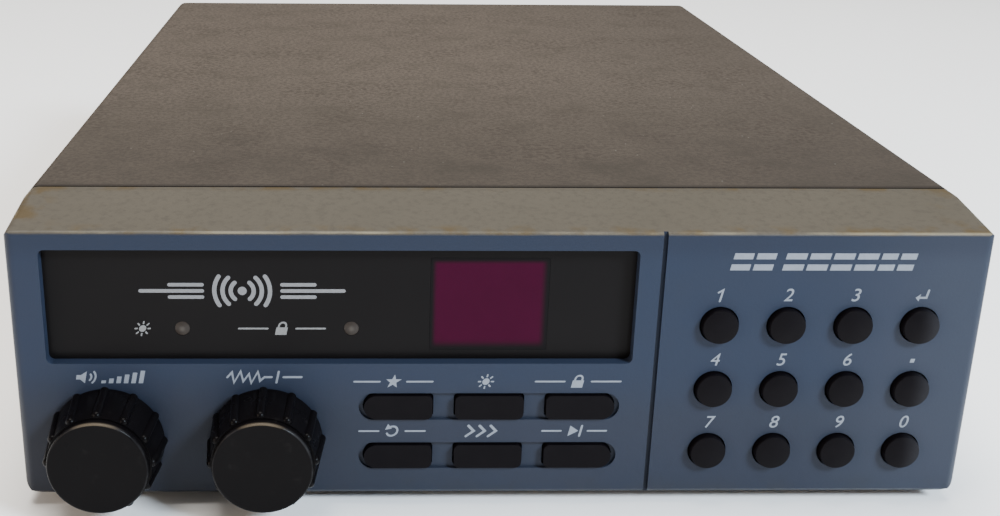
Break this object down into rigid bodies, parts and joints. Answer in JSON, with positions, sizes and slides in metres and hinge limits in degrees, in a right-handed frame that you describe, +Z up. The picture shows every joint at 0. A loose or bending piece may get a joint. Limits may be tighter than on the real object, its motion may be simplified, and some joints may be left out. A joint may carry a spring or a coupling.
{
  "type": "police scanner receiver",
  "caption": "Compact mobile scanner receiver: folded metal case, plastic bezel, display window, volume and squelch knobs, function buttons and a keypad.",
  "frame": {"origin": "bottom centre of the whole object, on the surface that the rubber feet stand on", "axes": "+X to the right seen from the front, +Y from the front panel to the back, +Z up"},
  "size_m": [0.164, 0.2214, 0.0523],
  "materials": {
    "bezel_plastic": "fine satin, slightly yellowed along the edges",
    "painted_sheet": "fine-textured taupe paint",
    "window_black": "satin black printed acrylic",
    "filter_magenta": "dark magenta tinted plastic",
    "lamp_lens": "unlit diffused lens",
    "control_black": "satin black",
    "board": "green solder mask",
    "rubber": "matte",
    "mat_silicone": "matte",
    "plated_steel": "zinc plated",
    "brass": "turned",
    "panel_black": "black paint",
    "tin_plate": "tinned",
    "moulded_black": "moulded",
    "can_sleeve": "shrink sleeve",
    "heat_black": "black anodised",
    "cloth": "woven grille cloth",
    "paper_cone": "pressed paper",
    "ribbon": "grey flat cable",
    "nickel": "nickel plated",
    "printed_ink": "pale screen-printed ink",
    "magnet_steel": "dark zinc"
  },
  "bodies": {
    "root": {"front_bezel": "bezel_plastic", "bezel_frame": "moulded_black", "display_window": "window_black", "display_filter": "filter_magenta", "display_module": "moulded_black", "window_lamps": "lamp_lens", "front_board": "board", "board_posts": "moulded_black", "keypad_mat": "mat_silicone", "button_switches": "moulded_black", "volume_control": "tin_plate", "squelch_control": "tin_plate", "control_washers": "plated_steel", "control_nuts": "plated_steel", "top_cover": "painted_sheet", "base_tray": "painted_sheet", "rear_panel": "panel_black", "cover_screws": "plated_steel", "case_screws": "plated_steel", "feet": "rubber", "bracket_inserts": "brass", "main_board": "board", "board_standoffs": "brass", "board_screws": "plated_steel", "rf_shield": "tin_plate", "tuning_cans": "tin_plate", "processor_chip": "moulded_black", "capacitors": "can_sleeve", "regulator": "moulded_black", "heat_sink": "heat_black", "ribbon_cable": "ribbon", "speaker_frame": "plated_steel", "speaker_cone": "paper_cone", "speaker_magnet": "magnet_steel", "speaker_cloth": "cloth", "antenna_jack": "nickel", "power_jack": "moulded_black", "speaker_jack": "moulded_black"},
    "volume_dial": {"volume_knob": "control_black", "volume_shaft": "plated_steel"},
    "squelch_dial": {"squelch_knob": "control_black", "squelch_shaft": "plated_steel"},
    "key_1_body": {"key_1": "control_black"},
    "key_2_body": {"key_2": "control_black"},
    "key_3_body": {"key_3": "control_black"},
    "key_4_body": {"key_4": "control_black"},
    "key_5_body": {"key_5": "control_black"},
    "key_6_body": {"key_6": "control_black"},
    "key_7_body": {"key_7": "control_black"},
    "key_8_body": {"key_8": "control_black"},
    "key_9_body": {"key_9": "control_black"},
    "key_0_body": {"key_0": "control_black"},
    "key_point_body": {"key_point": "control_black"},
    "key_enter_body": {"key_enter": "control_black"},
    "priority_body": {"priority_button": "control_black"},
    "weather_body": {"weather_button": "control_black"},
    "lockout_body": {"lockout_button": "control_black"},
    "review_body": {"review_button": "control_black"},
    "scan_body": {"scan_button": "control_black"},
    "manual_body": {"manual_button": "control_black"}
  },
  "joints": [
    {"name": "volume_turn", "type": "hinge", "parent": "root", "child": "volume_dial", "pos_m": [-0.0659, -0.10535, 0.0129], "axis": [0, 1, 0], "range_deg": [0, 300]},
    {"name": "squelch_turn", "type": "hinge", "parent": "root", "child": "squelch_dial", "pos_m": [-0.0391, -0.10535, 0.0129], "axis": [0, 1, 0], "range_deg": [0, 300]},
    {"name": "key_1_press", "type": "slide", "parent": "root", "child": "key_1_body", "axis": [0, 1, 0], "range_m": [0, 0.0009], "stiffness_N_per_m": 500, "springref_m": -0.0012},
    {"name": "key_2_press", "type": "slide", "parent": "root", "child": "key_2_body", "axis": [0, 1, 0], "range_m": [0, 0.0009], "stiffness_N_per_m": 500, "springref_m": -0.0012},
    {"name": "key_3_press", "type": "slide", "parent": "root", "child": "key_3_body", "axis": [0, 1, 0], "range_m": [0, 0.0009], "stiffness_N_per_m": 500, "springref_m": -0.0012},
    {"name": "key_4_press", "type": "slide", "parent": "root", "child": "key_4_body", "axis": [0, 1, 0], "range_m": [0, 0.0009], "stiffness_N_per_m": 500, "springref_m": -0.0012},
    {"name": "key_5_press", "type": "slide", "parent": "root", "child": "key_5_body", "axis": [0, 1, 0], "range_m": [0, 0.0009], "stiffness_N_per_m": 500, "springref_m": -0.0012},
    {"name": "key_6_press", "type": "slide", "parent": "root", "child": "key_6_body", "axis": [0, 1, 0], "range_m": [0, 0.0009], "stiffness_N_per_m": 500, "springref_m": -0.0012},
    {"name": "key_7_press", "type": "slide", "parent": "root", "child": "key_7_body", "axis": [0, 1, 0], "range_m": [0, 0.0009], "stiffness_N_per_m": 500, "springref_m": -0.0012},
    {"name": "key_8_press", "type": "slide", "parent": "root", "child": "key_8_body", "axis": [0, 1, 0], "range_m": [0, 0.0009], "stiffness_N_per_m": 500, "springref_m": -0.0012},
    {"name": "key_9_press", "type": "slide", "parent": "root", "child": "key_9_body", "axis": [0, 1, 0], "range_m": [0, 0.0009], "stiffness_N_per_m": 500, "springref_m": -0.0012},
    {"name": "key_0_press", "type": "slide", "parent": "root", "child": "key_0_body", "axis": [0, 1, 0], "range_m": [0, 0.0009], "stiffness_N_per_m": 500, "springref_m": -0.0012},
    {"name": "key_point_press", "type": "slide", "parent": "root", "child": "key_point_body", "axis": [0, 1, 0], "range_m": [0, 0.0009], "stiffness_N_per_m": 500, "springref_m": -0.0012},
    {"name": "key_enter_press", "type": "slide", "parent": "root", "child": "key_enter_body", "axis": [0, 1, 0], "range_m": [0, 0.0009], "stiffness_N_per_m": 500, "springref_m": -0.0012},
    {"name": "priority_press", "type": "slide", "parent": "root", "child": "priority_body", "axis": [0, 1, 0], "range_m": [0, 0.0007], "stiffness_N_per_m": 700, "springref_m": -0.0012},
    {"name": "weather_press", "type": "slide", "parent": "root", "child": "weather_body", "axis": [0, 1, 0], "range_m": [0, 0.0007], "stiffness_N_per_m": 700, "springref_m": -0.0012},
    {"name": "lockout_press", "type": "slide", "parent": "root", "child": "lockout_body", "axis": [0, 1, 0], "range_m": [0, 0.0007], "stiffness_N_per_m": 700, "springref_m": -0.0012},
    {"name": "review_press", "type": "slide", "parent": "root", "child": "review_body", "axis": [0, 1, 0], "range_m": [0, 0.0007], "stiffness_N_per_m": 700, "springref_m": -0.0012},
    {"name": "scan_press", "type": "slide", "parent": "root", "child": "scan_body", "axis": [0, 1, 0], "range_m": [0, 0.0007], "stiffness_N_per_m": 700, "springref_m": -0.0012},
    {"name": "manual_press", "type": "slide", "parent": "root", "child": "manual_body", "axis": [0, 1, 0], "range_m": [0, 0.0007], "stiffness_N_per_m": 700, "springref_m": -0.0012}
  ]
}
